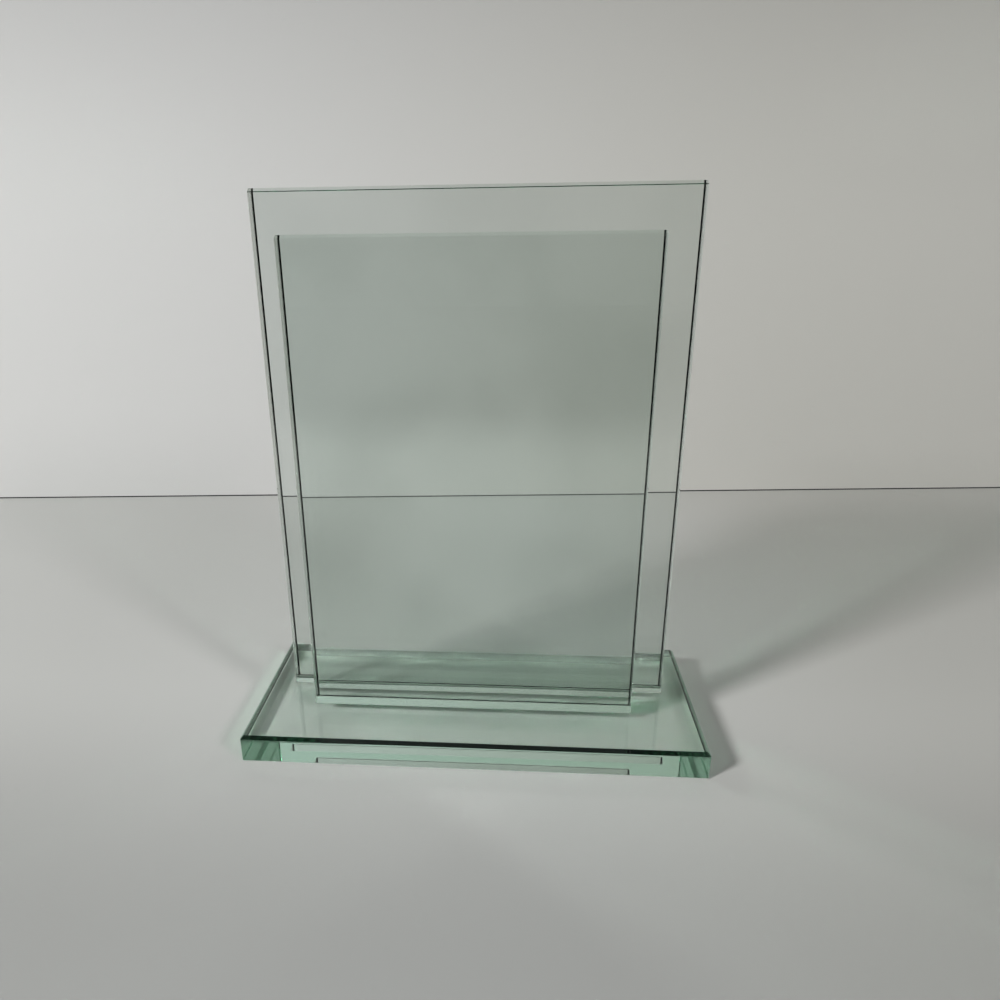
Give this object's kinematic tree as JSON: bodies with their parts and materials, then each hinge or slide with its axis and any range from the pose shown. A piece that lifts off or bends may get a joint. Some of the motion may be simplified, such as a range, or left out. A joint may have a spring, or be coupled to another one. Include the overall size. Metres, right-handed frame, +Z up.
{
  "type": "glass picture frame",
  "caption": "Free-standing clear glass picture frame: a smaller front pane and a larger back pane stand upright, bonded to a thick glass base, with an open slot between them for a print.",
  "frame": {"origin": "middle of the base plate's underside", "axes": "+Z up along the panes' height, -Y out of the front pane's face, +X to the right seen from the front"},
  "size_m": [0.1906, 0.0794, 0.222],
  "materials": {
    "clear_glass": "polished clear float glass with a green cast and polished edges",
    "clear_adhesive": "clear cured adhesive film"
  },
  "bodies": {
    "root": {"base_plate": "clear_glass", "back_pane": "clear_glass", "front_pane": "clear_glass", "back_bond": "clear_adhesive", "front_bond": "clear_adhesive"}
  },
  "joints": []
}
